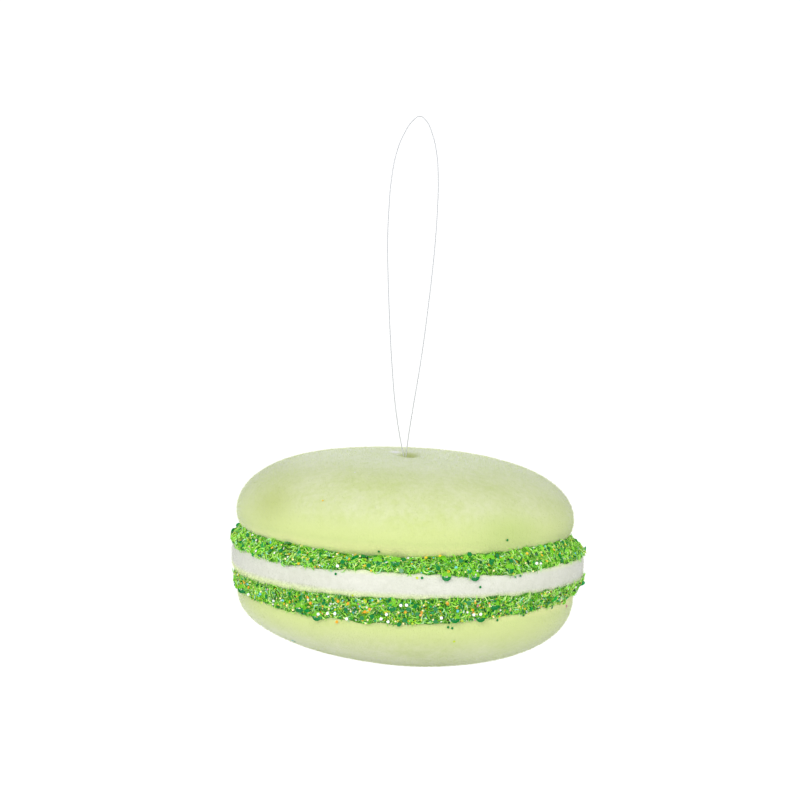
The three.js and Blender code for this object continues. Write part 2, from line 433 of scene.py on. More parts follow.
GREEN_VELVET = VelvetFinish(
    "green_velvet",
    colour(224, 231, 186),
    colour(206, 219, 146),
    overlays=(
        # painted light: the green that the trims throw on the cloth near them
        PaintedTrimLight(colour(219, 232, 156), full=12.0, none=23.0),
        # painted highlight that lifts the shade where the shell's rounded edge turns under beside
        # the trims
        PaintedTrimLight(colour(252, 255, 182), full=8.6, none=12.4),
        # painted shade: darker brushed patches where the pile lies away from the light
        Patch((-42.0, -30.0, 52.0), (14.0, 16.0, 10.0), colour(203, 215, 140), fade=0.0),
        Patch((30.0, -42.0, 47.0), (20.0, 18.0, 9.0), colour(204, 221, 142), fade=0.0),
        Patch((-5.2, 4.0, 64.2), (2.4, 4.0, 2.0), colour(240, 242, 230)),
        # painted shade in the pit that the line pulls into the top
        Patch((-0.6, -2.0, 63.8), (4.2, 7.4, 3.0), colour(172, 184, 100)),
    ),
    sheen=0.7,
)
WHITE_VELVET = VelvetFinish(
    "white_velvet",
    colour(239, 240, 228),
    colour(225, 227, 212),
    # painted light: the trims' green on the white cloth next to them
    overlays=(PaintedTrimLight(colour(246, 255, 204), full=4.2, none=2.0),),
)
# glue rope: its own green, kept dark so that it also paints the shade in the gaps between the
# shavings
CORE_FINISH = FilmFinish(
    "trim_core",
    ((0.0, colour(30, 104, 2)), (1.0, colour(88, 176, 22))),
    roughness=0.6,
    coat=0.0,
    blend=True,
)
SHAVING_FINISH = FilmFinish(
    "green_film_shavings",
    (
        (0.0, colour(34, 122, 0)),
        (0.22, colour(104, 218, 10)),
        (0.5, colour(164, 255, 56)),
        (0.88, colour(228, 255, 160)),
        (1.0, colour(150, 240, 224)),
    ),
    roughness=0.3,
    # the paler edge tone is a painted highlight
    edge=colour(196, 250, 96),
    blend=True,
)
SEQUIN_FINISH = FilmFinish(
    "emerald_sequins",
    (
        (0.0, colour(0, 146, 64)),
        (0.45, colour(0, 164, 74)),
        (0.75, colour(20, 176, 60)),
        (0.94, colour(10, 88, 44)),
    ),
    roughness=0.25,
    # painted lit half of each cup's inside
    edge=colour(132, 216, 40),
)
FLAKE_FINISH = FilmFinish(
    "mixed_glitter",
    (
        (0.0, colour(0, 92, 40)),
        (0.14, colour(0, 136, 60)),
        (0.4, colour(0, 164, 76)),
        (0.52, colour(84, 200, 40)),
        (0.6, colour(206, 232, 44)),
        (0.68, colour(252, 214, 44)),
        # white and cream flakes: silver and gold glitter, whose pale tones are partly painted
        # glints
        (0.76, colour(255, 255, 252)),
        (0.84, colour(252, 236, 150)),
        (0.9, colour(252, 178, 44)),
        (0.93, colour(120, 220, 230)),
        (0.965, colour(244, 150, 190)),
        (0.975, colour(50, 50, 22)),
    ),
    roughness=0.2,
    # painted lit half of the inside of each placed cup
    edge=colour(132, 216, 40),
)


# ------------------------------------------------------------------ forms


@dataclass(frozen=True)
class ShellForm:
    """The form of a shell, as its CAD solid has it: a superelliptic dome on a rounded edge."""

    side: int  # 1 if its dome rises, -1 if it hangs
    centre_x: float
    radius: float
    widest: float  # height of its widest ring
    dome: float
    radial_roundness: float
    height_roundness: float
    edge_depth: float
    edge_reach: float
    lean_degrees: float

    def dome_point(self, turn: Array) -> tuple[Array, Array]:
        """Radius and height on the dome, for turns from 0 at its foot to a quarter on top."""
        r = self.radius * np.maximum(np.cos(turn), 0) ** (2 / self.radial_roundness)
        rise = self.dome * np.sin(turn) ** (2 / self.height_roundness)
        return r, self.widest + self.side * rise

    def edge_point(self, turn: Array, grow: float = 0.0) -> tuple[Array, Array]:
        """Radius and height on the rounded edge, for turns from 0 at the widest ring."""
        r = self.radius - self.edge_reach + (self.edge_reach + grow) * np.cos(turn)
        return r, self.widest - self.side * (self.edge_depth + grow) * np.sin(turn)

    def edge_turn(self, z: Array, grow: float) -> Array:
        """How far along the rounded edge a height is. Heights on the dome give 0."""
        drop = self.side * (self.widest - z) / (self.edge_depth + grow)
        return np.arcsin(np.clip(drop, 0, 1))

    def radius_at(self, z: Array, grow: float = 0.0) -> Array:
        """The radius at a height, of the shell grown on all sides."""
        rise = np.clip(self.side * (z - self.widest) / (self.dome + grow), 0, 1)
        foot = 1 - rise**self.height_roundness
        on_dome = (self.radius + grow) * foot ** (1 / self.radial_roundness)
        return np.where(rise > 0, on_dome, self.edge_point(self.edge_turn(z, grow), grow)[0])

    def settled(self, points: Array) -> Array:
        """Points of the even shell, moved to where the leaning, shifted one has them."""
        rise = self.side * (points[:, 2] - self.widest) / self.dome
        lean = math.tan(math.radians(self.lean_degrees))
        moved = points.copy()
        moved[:, 2] -= lean * points[:, 0] * smooth(rise, 0, 1)
        moved[:, 0] += self.centre_x
        return moved


@dataclass(frozen=True)
class FillingForm:
    """The form of the filling, as its CAD solid has it: a disc with a bulging rim."""

    radius: float = 55.0
    middle: float = 32.0
    half_height: float = 6.0
    rim_depth: float = 5.0
    roundness: float = 2.4

    def radius_at(self, z: Array, grow: float = 0.0) -> Array:
        """The radius of the rim at a height, of the filling grown on all sides."""
        share = np.minimum(np.abs(z - self.middle) / (self.half_height + grow), 1)
        depth = (1 - share**self.roundness) ** (1 / self.roundness)
        return self.radius - self.rim_depth + (self.rim_depth + grow) * depth


UPPER_FORM = ShellForm(
    side=1,
    centre_x=-1.3,
    radius=52.7,
    widest=45.3,
    dome=19.1,
    radial_roundness=2.95,
    height_roundness=2.1,
    edge_depth=7.0,
    edge_reach=7.0,
    lean_degrees=0.3,
)
LOWER_FORM = ShellForm(
    side=-1,
    centre_x=-0.4,
    radius=52.6,
    widest=22.5,
    dome=23.45,
    radial_roundness=1.6,
    height_roundness=2.65,
    edge_depth=3.2,
    edge_reach=6.0,
    lean_degrees=1.6,
)
FILLING_FORM = FillingForm()


def flat_rings(edge_radius: float) -> Array:
    """The radii of the rings on a flat side, from the innermost out, its edge left out."""
    innermost, count = 0.2, 5
    return edge_radius * np.linspace(innermost, 1, count + 1)[:-1]


def turned(r: Array, z: Array, around: int, round_length: float) -> Form:
    """A closed form turned about the Z axis.

    Args:
        r: The radius of each ring, from the lowest to the highest, the poles left out.
        z: The height of each ring.
        around: How many facets go round.
        round_length: The length that the UV marks give one turn, in millimetres.

    Returns:
        The form, with marks in metres.
    """
    angle = np.arange(around) * (math.tau / around)
    x, y = np.outer(r, np.cos(angle)), np.outer(r, np.sin(angle))
    rings = np.stack([x.ravel(), y.ravel(), np.repeat(z, around)], axis=1)
    along = np.concatenate([[0], np.cumsum(np.hypot(np.diff(r), np.diff(z)))])
    faces: list[Face] = []
    marks = []
    for ring in range(len(r) - 1):
        low, high = along[ring], along[ring + 1]
        for i in range(around):
            a, b = ring * around + i, ring * around + (i + 1) % around
            faces.append((a, b, b + around, a + around))
            marks += [(i, low), (i + 1, low), (i + 1, high), (i, high)]
    count = len(rings)
    for i in range(around):
        j = (i + 1) % around
        faces.append((count, j, i))
        faces.append((count + 1, count - around + i, count - around + j))
        marks += [(i + 0.5, 0), (i + 1, 0), (i, 0)]
        marks += [(i + 0.5, along[-1]), (i, along[-1]), (i + 1, along[-1])]
    points = np.vstack([rings, [[0, 0, z[0]], [0, 0, z[-1]]]])
    return Form(points, faces, np.array(marks) * [round_length / around * MM, MM])


# ------------------------------------------------------------------ small things


def fibre() -> Form:
    """One fibre of the pile: a three-sided spike that stands on the surface."""
    length, root, lean, thickness = 0.45, 0.1, 0.08, 0.045
    corners = [
        (thickness * math.cos(a), thickness * math.sin(a), -root)
        for a in (0, math.tau / 3, 2 * math.tau / 3)
    ]
    faces = [(0, 2, 1), (0, 1, 3), (1, 2, 3), (2, 0, 3)]
    return Form(np.array([*corners, (0.0, lean, length)]), faces)


@dataclass(frozen=True)
class Shavings:
    """A kind of film shaving: a tapering ribbon that curls, partly on edge, with a shallow fold."""

    length: tuple[float, float]
    width: tuple[float, float]
    curl_degrees: tuple[float, float]
    seed: int
    kinds: int = 16
    segments: int = 4
    arch: float = 0.35  # how far the middle stands up
    tip: float = 0.35  # width of the tips, as a share of the widest
    thickness: float = 0.05
    fold: float = 0.2  # depth of the fold, as a share of half the width
    roll_degrees: tuple[float, float] = (5.0, 80.0)  # from flat to on edge
    twist_degrees: float = 60.0

    def forms(self) -> list[Form]:
        """All shavings of this kind."""
        return [self._ribbon(np.random.default_rng(self.seed + i)) for i in range(self.kinds)]

    def _ribbon(self, random: np.random.Generator) -> Form:
        """One shaving, whose curve lies along the surface."""
        curl = math.radians(random.uniform(*self.curl_degrees)) * random.choice([-1, 1])
        bend = random.uniform(*self.length) / curl
        widest = random.uniform(*self.width) / 2
        roll = math.radians(random.uniform(*self.roll_degrees))
        twist = math.radians(random.uniform(-self.twist_degrees, self.twist_degrees))
        points, faces, across = [], [], []
        for step in range(self.segments + 1):
            share = step / self.segments
            angle = curl * (share - 0.5)
            hump = math.sin(math.pi * share)
            centre = np.array(
                [bend * (1 - math.cos(angle)), bend * math.sin(angle), self.arch * hump]
            )
            ahead = np.array([math.sin(angle), math.cos(angle), 0.0])
            outward = np.array([math.cos(angle), -math.sin(angle), 0.0])
            turn = roll + twist * (share - 0.5)
            side = outward * math.cos(turn) + np.array([0.0, 0.0, math.sin(turn)])
            half = widest * (self.tip + (1 - self.tip) * hump)
            fold = np.cross(side, ahead) * (self.thickness + self.fold * half)
            points += [centre - side * half, centre - fold, centre + side * half]
            across += [(0.0, share), (0.5, share), (1.0, share)]
        for step in range(self.segments):
            a, b = step * 3, step * 3 + 3
            faces += [(a, b, b + 1, a + 1), (a + 1, b + 1, b + 2, a + 2), (a + 2, b + 2, b, a)]
        last = self.segments * 3
        faces += [(0, 1, 2), (last + 2, last + 1, last)]
        marks = np.array([across[v] for face in faces for v in face])
        middle = [np.mean(points, axis=0)[0], 0.0, 0.0]
        return Form(np.array(points) - middle, faces, marks, STRIP_MAP)


def cup_sequin() -> Form:
    """A cup sequin: a faceted dish with a hole in its middle. Half of its inside is marked, for a
    painted lit half.
    """
    sides, thickness, lift = 10, 0.07, 0.3
    dish = ((1.5, 0.0), (0.95, -0.34), (0.36, -0.46))
    outline = [*dish, *((r, z - thickness) for r, z in reversed(dish))]
    angles = [math.tau * i / sides for i in range(sides)]
    points = [(r * math.cos(a), r * math.sin(a), z + lift) for r, z in outline for a in angles]
    faces, marks = [], []
    for ring in range(len(outline)):
        start, following = ring * sides, (ring + 1) % len(outline) * sides
        for i in range(sides):
            j = (i + 1) % sides
            faces.append((following + j, following + i, start + i, start + j))
            # one half of the inside is marked, so that the finish paints it paler: a painted lit
            # half
            marked = ring < len(dish) - 1 and i < sides / 2
            marks += [(1.0 if marked else 0.5, 0.5)] * 4
    return Form(np.array(points), faces, np.array(marks), STRIP_MAP)


def flake(sides: int, radius: float) -> Form:
    """A flat chip of glitter with so many sides."""
    half = 0.03  # of its thickness
    angles = [math.tau * i / sides for i in range(sides)]
    points = [
        (radius * math.cos(a), radius * math.sin(a), z) for z in (-half, half) for a in angles
    ]
    faces = [tuple(reversed(range(sides))), tuple(range(sides, 2 * sides))]
    for i in range(sides):
        j = (i + 1) % sides
        faces.append((i, j, sides + j, sides + i))
    return Form(np.array(points), faces, np.full((6 * sides, 2), 0.5), STRIP_MAP)


@dataclass(frozen=True)
class Strewing:
    """How a kind of small thing is strewn over a surface."""

    density: float  # things on a square millimetre
    spacing: float = 0.0  # least distance between two, in millimetres
    margin: tuple[float, float] = (0.0, 0.01)  # cover at which they start, and are all there
    lift: tuple[float, float] = (0.0, 0.0)  # how far off the surface, in millimetres
    tilt_degrees: float = 20.0
    spin_degrees: float = 180.0
    size: tuple[float, float] = (1.0, 1.0)
    nap: float = 0.0  # how far they lean together, in patches
    droop: float = 0.0  # how far they hang down
    seed: int = 1
    cover: str = COVER  # the attribute of the surface that says where they are

    def scatter(
        self,
        carrier: bpy.types.Object,
        forms: list[Form],
        name: str,
        material: bpy.types.Material,
        smooth_shading: bool = False,
    ) -> bpy.types.Object:
        """Strews copies of forms over a carrier's surface.

        Args:
            carrier: The object whose surface, by its cover attribute, gets them.
            forms: The forms, one of which is drawn for each place.
            name: The name of the new object.
            material: The material of the copies.
            smooth_shading: Whether the copies' shading runs smoothly over their faces.

        Returns:
            A plain mesh object with all copies joined, each with a tint of its own.
        """
        group = bpy.data.collections.new(name + "_forms")
        bpy.context.scene.collection.children.link(group)
        shapes = [f.build(f"{name}_{i:02d}", smooth_shading) for i, f in enumerate(forms)]
        for shape in shapes:
            bpy.context.scene.collection.objects.unlink(shape)
            group.objects.link(shape)
        piece = bpy.data.objects.new(name, carrier.data.copy())
        bpy.context.scene.collection.objects.link(piece)
        inputs = self._inputs(group, len(shapes), material)
        tree = strewing_tree(inputs)
        modifier = piece.modifiers.new("strewing", "NODES")
        modifier.node_group = tree
        for item in tree.interface.items_tree:
            if item.in_out == "INPUT" and item.name in inputs:
                modifier[item.identifier] = inputs[item.name]
        graph = bpy.context.evaluated_depsgraph_get()
        made = bpy.data.meshes.new_from_object(
            piece.evaluated_get(graph), preserve_all_data_layers=True, depsgraph=graph
        )
        piece.modifiers.clear()
        piece.data = made
        for shape in shapes:
            bpy.data.objects.remove(shape)
        bpy.data.collections.remove(group)
        return piece

    def _inputs(
        self, shapes: bpy.types.Collection, count: int, material: bpy.types.Material
    ) -> dict[str, Any]:
        """The value of each input of the node tree, in metres and radians, by its label."""
        return {
            "Shapes": shapes,
            "Material": material,
            "Count": count,
            "Density": self.density / MM**2,
            "Spacing": self.spacing * MM,
            "Margin Low": self.margin[0],
            "Margin High": self.margin[1],
            "Lift Low": self.lift[0] * MM,
            "Lift High": self.lift[1] * MM,
            "Tilt": math.radians(self.tilt_degrees),
            "Spin": math.radians(self.spin_degrees),
            "Size Low": self.size[0],
            "Size High": self.size[1],
            "Nap": self.nap,
            "Droop": self.droop,
            "Seed": self.seed,
            "Cover": self.cover,
        }


class Draw(Enum):
    """What is drawn for each strewn thing, by how far its seed is past the strewing's own."""

    LIFT = 11
    TURN = 23
    SHAPE = 37
    SIZE = 41
    TINT = 53


SOCKET_KINDS = {
    bpy.types.Collection: "NodeSocketCollection",
    bpy.types.Material: "NodeSocketMaterial",
    str: "NodeSocketString",
    int: "NodeSocketInt",
    float: "NodeSocketFloat",
}


def strewing_tree(inputs: dict[str, Any]) -> bpy.types.NodeTree:
    """The node tree that strews shapes over a surface, made once.

    Args:
        inputs: A value for each of its inputs, by its label, which gives the input its kind.

    Returns:
        The tree, whose first input is the surface.
    """
    name, swirl_scale = "strewing", 60.0
    if name in bpy.data.node_groups:
        return bpy.data.node_groups[name]
    group = bpy.data.node_groups.new(name, "GeometryNodeTree")
    interface, geometry = group.interface, "NodeSocketGeometry"
    interface.new_socket(name="Surface", in_out="INPUT", socket_type=geometry)
    for label, value in inputs.items():
        kind = SOCKET_KINDS[type(value)]
        interface.new_socket(name=label, in_out="INPUT", socket_type=kind)
    interface.new_socket(name="Geometry", in_out="OUTPUT", socket_type=geometry)
    tree = NodeTree(group)
    given = tree.add("NodeGroupInput").outputs

    def drawn(kind: str, low: Any, high: Any, draw: Draw) -> Any:
        """A random value for each thing, between two values."""
        suffix = {"FLOAT_VECTOR": "", "FLOAT": "_001", "INT": "_002"}[kind]
        seed = tree.math("ADD", given["Seed"], draw.value)
        values = {"Min" + suffix: low, "Max" + suffix: high, "Seed": seed}
        node = tree.add("FunctionNodeRandomValue", {"data_type": kind}, **values)
        return next(s for s in node.outputs if s.enabled)

    settings = {"data_type": "FLOAT"}
    cover = tree.add("GeometryNodeInputNamedAttribute", settings, Name=given["Cover"])
    inside = tree.spread(
        next(s for s in cover.outputs if s.enabled),
        given["Margin Low"],
        given["Margin High"],
        "SMOOTHSTEP",
    )
    placed = tree.add(
        "GeometryNodeDistributePointsOnFaces",
        {"distribute_method": "POISSON"},
        Mesh=given["Surface"],
        Distance_Min=given["Spacing"],
        Density_Max=given["Density"],
        Density_Factor=inside,
        Seed=given["Seed"],
    )
    normal = placed.outputs["Normal"]
    lift = drawn("FLOAT", given["Lift Low"], given["Lift High"], Draw.LIFT)
    points = tree.add(
        "GeometryNodeSetPosition",
        Geometry=placed.outputs["Points"],
        Offset=tree.vector_math("SCALE", normal, Scale=lift),
    )
    swirl = tree.add("ShaderNodeTexNoise", Scale=swirl_scale, Detail=1.0).outputs["Color"]
    swirl = tree.vector_math("SUBTRACT", swirl, (0.5, 0.5, 0.5))
    leaning = tree.vector_math("ADD", normal, tree.vector_math("SCALE", swirl, Scale=given["Nap"]))
    hanging = tree.vector_math("SCALE", (0.0, 0.0, -1.0), Scale=given["Droop"])
    leaning = tree.vector_math("ADD", leaning, hanging)
    upright = tree.add("FunctionNodeAlignRotationToVector", {"axis": "Z"}, Vector=leaning)
    facing = tree.add(
        "FunctionNodeAlignRotationToVector",
        {"axis": "Y", "pivot_axis": "Z"},
        Rotation=upright.outputs[0],
        Vector=(0.0, 0.0, 1.0),
    )
    most = tree.add("ShaderNodeCombineXYZ", X=given["Tilt"], Y=given["Tilt"], Z=given["Spin"])
    least = tree.vector_math("SCALE", most.outputs[0], Scale=-1.0)
    turn = tree.add(
        "FunctionNodeRotateRotation",
        {"rotation_space": "LOCAL"},
        Rotation=facing.outputs[0],
        Rotate_By=drawn("FLOAT_VECTOR", least, most.outputs[0], Draw.TURN),
    )
    shapes = tree.add(
        "GeometryNodeCollectionInfo",
        Collection=given["Shapes"],
        Separate_Children=True,
        Reset_Children=True,
    )
    last = tree.math("SUBTRACT", given["Count"], 1.0)
    copies = tree.add(
        "GeometryNodeInstanceOnPoints",
        Points=points.outputs[0],
        Instance=shapes.outputs[0],
        Pick_Instance=True,
        Instance_Index=drawn("INT", 0, last, Draw.SHAPE),
        Rotation=turn.outputs[0],
        Scale=drawn("FLOAT", given["Size Low"], given["Size High"], Draw.SIZE),
    )
    tinted = tree.add(
        "GeometryNodeStoreNamedAttribute",
        {"domain": "INSTANCE", "data_type": "FLOAT"},
        Geometry=copies.outputs[0],
        Name=TINT,
        Value=drawn("FLOAT", 0.0, 1.0, Draw.TINT),
    )
    real = tree.add("GeometryNodeRealizeInstances", Geometry=tinted.outputs[0])
    painted = tree.add(
        "GeometryNodeSetMaterial", Geometry=real.outputs[0], Material=given["Material"]
    )
    tree.add("NodeGroupOutput", Geometry=painted.outputs[0])
    return group


# ------------------------------------------------------------------ sub-assemblies


@dataclass(frozen=True)
class Pit:
    """The pit that the stitched line pulls into the top of the upper shell."""

    x: float = -0.8
    y: float = -2.0
    half_width: float = 4.3
    half_length: float = 5.8
    depth: float = 1.5

    def depth_at(self, points: Array) -> Array:
        """How deep the velvet is pulled down at each point, on the side that has the pit."""
        x = (points[:, 0] - self.x) / self.half_width
        y = (points[:, 1] - self.y) / self.half_length
        hollow = np.maximum(1 - x**2 - y**2, 0) ** 1.5
        return self.depth * hollow * (points[:, 2] > UPPER_FORM.widest)


@dataclass
class Shell:
    """A velvet-covered foam shell."""

    name: str
    form: ShellForm
    pile: Strewing
    pit: Pit | None = None
    dent_seed: float = 3.0
    dent: float = 0.22  # height of the soft unevenness
    dent_size: float = 26.0
    dent_rise: tuple[float, float] = (0.5, 8.0)  # height over the widest ring where it sets in
    pile_height: tuple[float, float] = (0.2, 1.0)  # height over the floor where the pile sets in
    pile_curl: tuple[float, float] = (-0.95, -0.7)  # and the share of the rounded edge
    inset: float = 0.2  # how deep the cloth lies under the tips of its pile
    around: int = 320
    dome_rings: int = 120
    edge_rings: int = 20
    crown_rings: int = 12

    def build(self) -> None:
        """Builds the shell and its pile."""
        edge_r, edge_z = self.form.edge_point(np.linspace(QUARTER, 0, self.edge_rings))
        dome_r, dome_z = self.form.dome_point(np.linspace(0, QUARTER, self.dome_rings + 1)[1:-1])
        flat = flat_rings(edge_r[0])
        crown = np.linspace(dome_r[-1], 0, self.crown_rings + 2)[1:-1]
        top = self.form.widest + self.form.side * self.form.dome
        crown_z = dome_z[-1] + (top - dome_z[-1]) * (1 - (crown / dome_r[-1]) ** 2)
        r = np.concatenate([flat, edge_r, dome_r, crown])
        z = np.concatenate([np.full(len(flat), edge_z[0]), edge_z, dome_z, crown_z])
        if self.form.side < 0:
            r, z = r[::-1], z[::-1]
        even = turned(r, z, self.around, math.tau * self.form.radius)
        rise = self.form.side * (even.points[:, 2] - self.form.widest)
        piece = replace(even, points=self._settled(even.points)).build(self.name + "_velvet", True)
        piece.data.materials.append(GREEN_VELVET.material())
        off_floor = smooth(point_positions(piece)[:, 2], *self.pile_height)
        off_crease = smooth(rise / self.form.edge_depth, *self.pile_curl)
        set_point_attribute(piece, COVER, off_crease * off_floor)
        fuzz = replace(GREEN_VELVET, name="green_pile", relief=False).material()
        pile = self.pile.scatter(piece, [fibre()], self.name + "_pile", fuzz)
        hand_over(piece, self.name)
        hand_over(pile, self.name)

    def _settled(self, points: Array) -> Array:
        """The even shell's points with its dents, pit, lean and flat spot."""
        form = self.form
        rise = form.side * (points[:, 2] - form.widest)
        outward = points / form.radius
        outward[:, 2] = form.side * np.sqrt(np.maximum(1 - np.hypot(*outward[:, :2].T) ** 2, 0))
        uneven = noise_at(points, self.dent_size, self.dent_seed)
        dent = self.dent * uneven * smooth(rise, *self.dent_rise)
        moved = points + outward * (dent - self.inset)[:, None]
        if self.pit:
            moved[:, 2] -= self.pit.depth_at(moved + [form.centre_x, 0, 0])
        moved = form.settled(moved)
        moved[:, 2] = np.maximum(moved[:, 2], 0)
        return moved


@dataclass
class Filling:
    """The white velvet-covered disc between the shells."""

    pile: Strewing
    form: FillingForm = FILLING_FORM
    inset: float = 0.15
    lump: float = 0.12
    lump_size: float = 7.0
    lump_seed: float = 9.0
    lump_radius: tuple[float, float] = (50.5, 53.0)  # where the lumps set in
    pile_radius: tuple[float, float] = (52.0, 53.2)  # and the pile
    fringe_foot: tuple[float, float] = (26.6, 27.4)  # heights between which the fringe sets in
    fringe_top: tuple[float, float] = (28.0, 30.0)  # and between which it ends
    around: int = 340
    rim_rings: int = 60

    def build(self) -> None:
        """Builds the filling and its pile."""
        form = self.form
        rim_z = form.middle + form.half_height * np.sin(
            np.linspace(-QUARTER, QUARTER, self.rim_rings)
        )
        rim_r = form.radius_at(rim_z) - self.inset
        flat = flat_rings(rim_r[0])
        level = np.ones(len(flat))
        r = np.concatenate([flat, rim_r, flat[::-1]])
        z = np.concatenate([level * rim_z[0], rim_z, level * rim_z[-1]])
        even = turned(r, z, self.around, math.tau * form.radius)
        radial = np.hypot(*even.points[:, :2].T)
        uneven = noise_at(even.points, self.lump_size, self.lump_seed)
        lump = self.lump * uneven * smooth(radial, *self.lump_radius)
        even.points[:, :2] *= (1 + lump / form.radius)[:, None]
        piece = even.build("filling_velvet", True)
        piece.data.materials.append(WHITE_VELVET.material())
        set_point_attribute(piece, COVER, smooth(radial, *self.pile_radius))
        fuzz = replace(WHITE_VELVET, name="white_pile", relief=False).material()
        pile = self.pile.scatter(piece, [fibre()], "filling_pile", fuzz)
        z = point_positions(piece)[:, 2]
        low = smooth(z, *self.fringe_foot) * (1 - smooth(z, *self.fringe_top))
        set_point_attribute(piece, FRINGE, low * (radial > form.radius - form.rim_depth))
        fringe = replace(self.pile, density=4.5, droop=0.8, size=(1.2, 2.5), seed=13, cover=FRINGE)
        hair = fringe.scatter(piece, [fibre()], "filling_fringe", fuzz)
        for made in (piece, pile, hair):
            hand_over(made, "filling")


@dataclass(frozen=True)
class Edge:
    """An edge of a trim, which is laid by hand and so isn't level."""

    height: float
    tilt: float  # how far it rises towards one side
    sag: float  # how far it dips between its crests, the first of which is on that side
    towards_degrees: float  # the side, from +X towards +Y
    dips: int = 2  # how many times it dips on its way round

    def height_at(self, angle: Array) -> Array:
        """The height of the edge at angles."""
        turn = angle - math.radians(self.towards_degrees)
        return self.height + self.tilt * np.cos(turn) + self.sag * np.cos(self.dips * turn)


@dataclass
class GlitterTrim:
    """A rope of film shavings, sequins and glitter, glued into a crease."""

    name: str
    shell: ShellForm
    filling_edge: Edge
    shell_edge: Edge
    flake_density: float
    seed: int
    bulge: float = 0.1
    around: int = 460
    face_rows: int = 16
    back_rows: int = 6
    gap: float = 0.1
    rim_share: float = 0.93
    lump: float = 0.4
    lump_size: float = 1.3
    spill: float = 0.65  # how far its edges wander
    spill_sizes: tuple[float, float] = (5.0, 2.2)  # the size of their coarse and fine turns
    fine_share: float = 0.6  # how far the fine ones go, against the coarse ones
    least: float = 0.5  # thickness over the filling's rim
    mottle_size: float = 1.2
    mottle: float = 0.7  # how far the core's tint varies

    def build(self) -> None:
        """Builds the rope and everything that is stuck to it."""
        places = np.linspace(-1, 1, self.face_rows + 1)
        face = [self._face_row(place) for place in places]
        carrier = self._grid(face, closed=False).build(self.name + "_carrier")
        set_point_attribute(carrier, COVER, np.repeat(1 - np.abs(places), self.around))
        core = self._grid(face + self._back_rows(), closed=True).build(self.name + "_core", True)
        core.data.materials.append(CORE_FINISH.material())
        mottle = noise_at(point_positions(core), self.mottle_size, seed=1.0)
        set_point_attribute(core, TINT, 0.5 + self.mottle * mottle)
        pieces = [core, self._shreds(carrier), self._curls(carrier)]
        pieces += [self._sequins(carrier), self._flakes(carrier)]
        bpy.data.objects.remove(carrier)
        for piece in pieces:
            hand_over(piece, self.name)

    def _shreds(self, carrier: bpy.types.Object) -> bpy.types.Object:
        """Strews the bed of small film shavings over the rope."""
        bed = Strewing(
            density=3.45,
            margin=(0.15, 0.4),
            lift=(-0.1, 0.35),
            tilt_degrees=26,
            size=(0.82, 1.25),
            seed=self.seed,
        )
        kind = Shavings(length=(1.2, 2.8), width=(0.18, 0.42), curl_degrees=(40, 170), seed=400)
        return bed.scatter(
            carrier, kind.forms(), self.name + "_shreds", SHAVING_FINISH.material()
        )

    def _curls(self, carrier: bpy.types.Object) -> bpy.types.Object:
        """Strews longer curled shavings, some of which stand out."""
        loose = Strewing(
            density=0.36,
            margin=(0.3, 0.6),
            lift=(0.2, 0.6),
            tilt_degrees=20,
            size=(0.8, 1.1),
            seed=self.seed + 3,
        )
        kind = Shavings(
            length=(2.4, 4.8),
            width=(0.2, 0.4),
            curl_degrees=(120, 290),
            seed=440,
            segments=9,
        )
        return loose.scatter(
            carrier, kind.forms(), self.name + "_curls", SHAVING_FINISH.material()
        )

    def _sequins(self, carrier: bpy.types.Object) -> bpy.types.Object:
        """Strews cup sequins, clear of each other."""
        clear = Strewing(
            density=0.055,
            spacing=2.6,
            margin=(0.3, 0.6),
            lift=(0.3, 0.6),
            tilt_degrees=55,
            size=(0.8, 1.0),
            seed=self.seed + 1,
        )
        return clear.scatter(
            carrier, [cup_sequin()], self.name + "_sequins", SEQUIN_FINISH.material()
        )

    def _flakes(self, carrier: bpy.types.Object) -> bpy.types.Object:
        """Strews flat glitter on top."""
        loose = Strewing(
            density=self.flake_density,
            margin=(0.2, 0.45),
            lift=(0.35, 0.85),
            tilt_degrees=42,
            size=(0.35, 0.8),
            seed=self.seed + 2,
        )
        forms = [flake(6, 0.66), flake(6, 0.5), flake(8, 0.42)]
        return loose.scatter(carrier, forms, self.name + "_flakes", FLAKE_FINISH.material())

    def _angles(self) -> Array:
        """The angle of each place round the rope."""
        return np.arange(self.around) * (math.tau / self.around)

    def _edge(self, edge: Edge, phase: float) -> Array:
        """The height of an edge at each place round the rope, with its small wandering."""
        angle = self._angles()
        circle = FILLING_FORM.radius * np.stack([np.cos(angle), np.sin(angle), 0 * angle], axis=1)
        coarse = noise_at(circle, self.spill_sizes[0], self.seed + phase)
        fine = noise_at(circle, self.spill_sizes[1], self.seed - phase)
        return edge.height_at(angle) + self.spill * (coarse + self.fine_share * fine)

    def _face_row(self, place: float) -> Array:
        """One row of the outer face, from -1 on the filling to 1 on the shell."""
        share = (math.sin(place * QUARTER) + 1) / 2
        low, high = self._edge(self.filling_edge, 1.0), self._edge(self.shell_edge, 2.0)
        start = FILLING_FORM.radius_at(low, self.gap)
        end = self.shell.radius_at(high, self.gap)
        z = low + (high - low) * share
        proud = math.cos(place * QUARTER)
        r = start + (end - start) * share + self.bulge * proud
        beside_rim = np.abs(z - FILLING_FORM.middle) < FILLING_FORM.half_height + self.gap
        rim = FILLING_FORM.radius_at(z, self.gap) + self.least * proud
        r = np.where(beside_rim, np.maximum(r, rim), r)
        row = self._ring(r, z, share)
        if abs(place) < 1:
            lump = self.lump * noise_at(row, self.lump_size, self.seed)
            row[:, :2] *= (1 + lump / FILLING_FORM.radius)[:, None]
        return row

